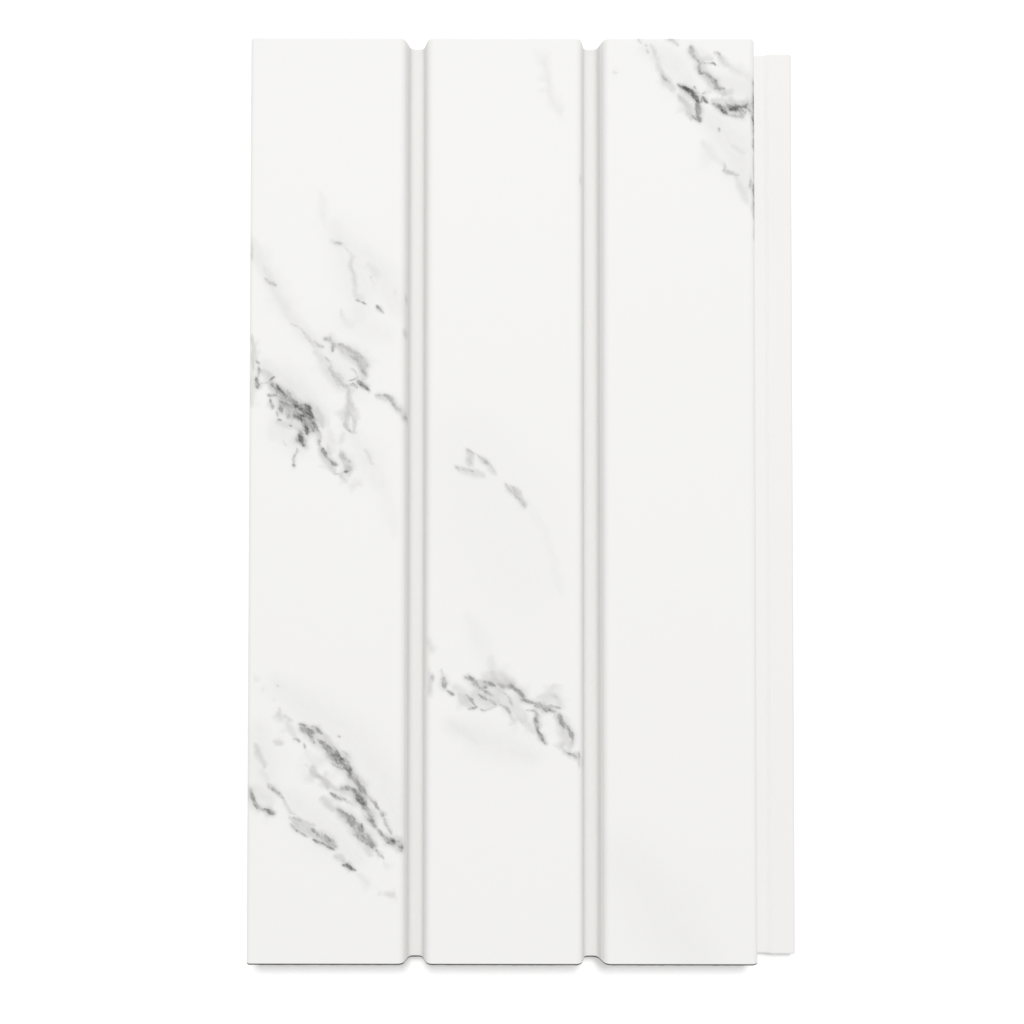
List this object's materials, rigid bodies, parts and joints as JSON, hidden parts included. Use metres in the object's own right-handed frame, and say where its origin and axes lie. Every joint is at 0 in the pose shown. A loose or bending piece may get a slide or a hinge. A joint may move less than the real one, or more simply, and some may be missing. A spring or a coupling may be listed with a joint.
{
  "type": "polystyrene wall panel",
  "caption": "Grooved interlocking wall panel of foamed polystyrene with a marble-look face, a lap tongue on one long edge and a rebate under the other.",
  "frame": {"origin": "middle of the back, at the centre of the overall box", "axes": "+X across the panel, from the rebate to the tongue; +Y along the extrusion; +Z out of the face"},
  "size_m": [0.1566, 0.262, 0.012],
  "materials": {
    "marble_film": "near-white satin film with grey marble veins on the slats, plain off-white in the grooves, on the tongue and on the foam of the back and ends"
  },
  "bodies": {
    "root": {"wall_panel": "marble_film"}
  },
  "joints": []
}
